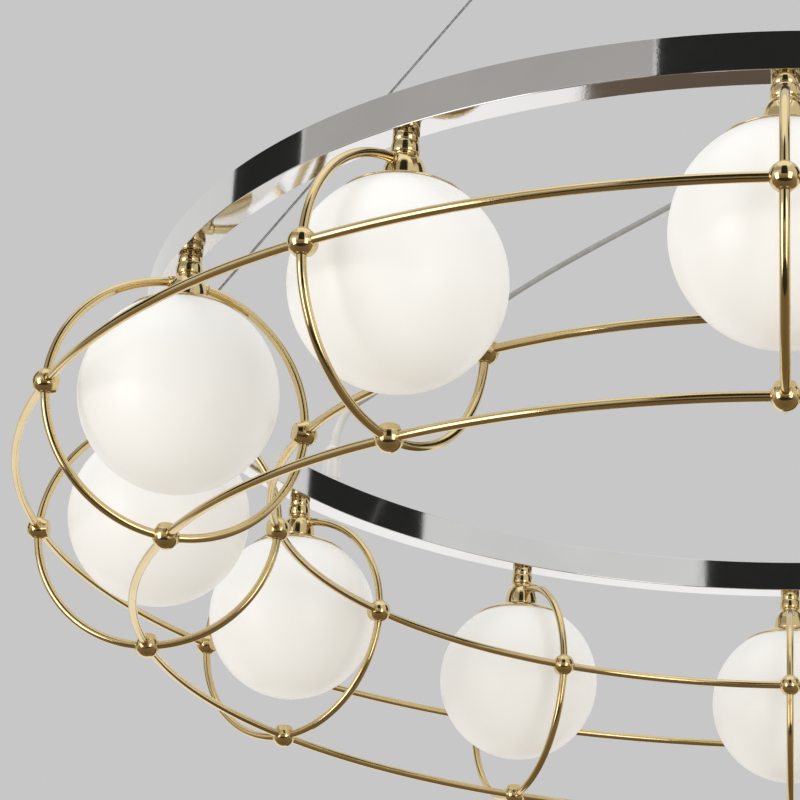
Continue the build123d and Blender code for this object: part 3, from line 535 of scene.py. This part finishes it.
nodeFinish = {
    "plated_steel": platedSteel, "polished_chrome": mirrorChrome, "polished_brass": polishedBrass, "lamp_holder_ceramic": holderCeramic,
    "capsule_glass": opalGlass, "wire_insulation": palePlastic, "terminal_plastic": palePlastic, "grommet_rubber": darkRubber,
    "grey_cord": cordPlastic, "wire_rope": wireSteel, "opal_glass": opalGlass}
for part in frame["record"]["subparts"]:
    held = frame["nodes"][part["node"]].data.materials
    held.clear()
    held.append(nodeFinish[part["material_slot"]])
print("node finishes ready")

studioPlan = {"floor": -2.45, "floorHalf": 14, "backdropGrey": 0.571, "cardDepth": 1.5}


def stageMaterial(name, colour, oneSided=False):
    material = bpy.data.materials.new(name)
    material.use_nodes = True
    nodes, links = material.node_tree.nodes, material.node_tree.links
    shader = nodes["Principled BSDF"]
    shader.inputs["Base Color"].default_value = (*colour, 1)
    shader.inputs["Roughness"].default_value = 0.9
    if oneSided:
        # seen from below the floor is clear
        facing, clear, mix = (nodes.new(f"ShaderNode{k}") for k in ("NewGeometry", "BsdfTransparent", "MixShader"))
        links.new(facing.outputs["Backfacing"], mix.inputs["Fac"])
        links.new(shader.outputs["BSDF"], mix.inputs[1])
        links.new(clear.outputs["BSDF"], mix.inputs[2])
        links.new(mix.outputs["Shader"], nodes["Material Output"].inputs["Surface"])
    return material


def stageSheet(name, corners, material):
    mesh = bpy.data.meshes.new(name)
    mesh.from_pydata([list(map(float, c)) for c in corners], [], [(0, 1, 2, 3)])
    mesh.materials.append(material)
    sheet = bpy.data.objects.new(name, mesh)
    bpy.context.scene.collection.objects.link(sheet)
    return sheet


edge, level = studioPlan["floorHalf"], studioPlan["floor"]
floor = stageSheet("floor", [(-edge, -edge, level), (edge, -edge, level), (edge, edge, level), (-edge, edge, level)],
                   stageMaterial("paleFloor", (0.72, 0.68, 0.62), True))
floor.visible_glossy = False

darkFlag = stageMaterial("darkFlag", (0.01, 0.01, 0.01))


def cardMaterial(name, colour):
    material = stageMaterial(name, (0, 0, 0))
    shader = material.node_tree.nodes["Principled BSDF"]
    shader.inputs["Emission Color"].default_value, shader.inputs["Emission Strength"].default_value = (*colour, 1), 1
    return material


def inReflectionsOnly(sheet):
    sheet.visible_camera = sheet.visible_diffuse = sheet.visible_shadow = sheet.visible_transmission = False


# name, azimuth, half width in degrees, distance, low, high, finish
flagPlan = (("flagFront", -90.75, 18.75, 3.4, -1.2, 3.6, darkFlag), ("flagLeft", -184, 9.5, 3.4, -0.9, 3.0, darkFlag),
            ("flagRight", 10, 16.5, 3.4, -0.9, 3.0, darkFlag),
            ("cardFront", -142, 32, 3.4, 0.3, 2.3, cardMaterial("greyCard", (0.42, 0.405, 0.38))))
for name, azimuth, half, away, low, high, finish in flagPlan:
    a, b = math.radians(azimuth - half), math.radians(azimuth + half)
    left, right = (away * math.cos(a), away * math.sin(a)), (away * math.cos(b), away * math.sin(b))
    inReflectionsOnly(stageSheet(name, [(*left, low), (*right, low), (*right, high), (*left, high)], finish))
# upright cards behind, low down, that the ring's underside reflects toward the front: name, left, right, low, high, finish
paleCard, brownCard = cardMaterial("paleCard", (1.02, 1.01, 0.99)), cardMaterial("brownCard", (0.115, 0.082, 0.057))
cardPlan = (("cardPale", -3.2, -0.30, -2.4, -1.40, paleCard), ("cardBrown", -0.30, 3.2, -2.4, -1.40, brownCard),
            ("cardBack", -3.2, 3.2, -1.40, -1.0, paleCard))
for name, left, right, low, high, finish in cardPlan:
    y = studioPlan["cardDepth"]
    inReflectionsOnly(stageSheet(name, [(left, y, low), (right, y, low), (right, y, high), (left, y, high)], finish))
inReflectionsOnly(stageSheet("flagLow", [(-2.4, -2.9, -2.4), (2.4, -2.9, -2.4), (2.4, -1.5, -2.4), (-2.4, -1.5, -2.4)], darkFlag))

world = bpy.data.worlds.new("studioWorld")
bpy.context.scene.world = world
world.use_nodes = True
nodes, links = world.node_tree.nodes, world.node_tree.links
nodes.clear()
seen, surround, mix, out = (nodes.new(f"ShaderNode{k}") for k in ("Background", "Background", "MixShader", "OutputWorld"))
seen.inputs["Color"].default_value = (studioPlan["backdropGrey"],) * 3 + (1,)
ray, way, split, ramp = (nodes.new(f"ShaderNode{k}") for k in ("LightPath", "TexCoord", "SeparateXYZ", "ValToRGB"))
links.new(way.outputs["Generated"], split.inputs["Vector"])
spread = nodes.new("ShaderNodeMapRange")
spread.inputs["From Min"].default_value = -1
links.new(split.outputs["Z"], spread.inputs["Value"])
links.new(spread.outputs["Result"], ramp.inputs["Fac"])
# from straight down to straight up
levels = ((0.0, (0.17, 0.125, 0.075)), (0.36, (0.27, 0.21, 0.13)), (0.47, (0.52, 0.49, 0.44)), (0.53, (0.70, 0.70, 0.685)),
          (1.0, (0.78, 0.78, 0.765)))
while len(ramp.color_ramp.elements) < len(levels):
    ramp.color_ramp.elements.new(0.5)
for element, (position, level) in zip(ramp.color_ramp.elements, levels):
    element.position, element.color = position, (*level, 1)
links.new(ramp.outputs["Color"], surround.inputs["Color"])
links.new(ray.outputs["Is Camera Ray"], mix.inputs["Fac"])
links.new(surround.outputs["Background"], mix.inputs[1])
links.new(seen.outputs["Background"], mix.inputs[2])
links.new(mix.outputs["Shader"], out.inputs["Surface"])

# name, azimuth, elevation, distance, width, height, power
lampPlan = (("windowLeft", -138, -8, 3.2, 1.3, 1.9, 22), ("windowRight", -56, -8, 3.2, 1.3, 1.9, 18),
            ("ceilingBounce", -90, 75, 3.0, 3.0, 3.0, 10))
aim = np.array([0, 0, -0.88])
for name, azimuth, elevation, away, width, height, power in lampPlan:
    a, e = math.radians(azimuth), math.radians(elevation)
    toward = np.array([math.cos(a) * math.cos(e), math.sin(a) * math.cos(e), math.sin(e)])
    light = bpy.data.lights.new(name, "AREA")
    light.shape, light.size, light.size_y, light.energy = "RECTANGLE", width, height, power
    lamp = bpy.data.objects.new(name, light)
    sideways = np.cross([0, 0, 1.0], toward)
    sideways /= np.linalg.norm(sideways)
    upward = np.cross(toward, sideways)
    place = np.eye(4)
    place[:3, 0], place[:3, 1], place[:3, 2], place[:3, 3] = sideways, upward, toward, aim + toward * away
    lamp.matrix_world = Matrix(place.tolist())
    lamp.visible_camera = False
    bpy.context.scene.collection.objects.link(lamp)
bpy.context.scene.view_settings.view_transform = "Standard"
print("studio ready")
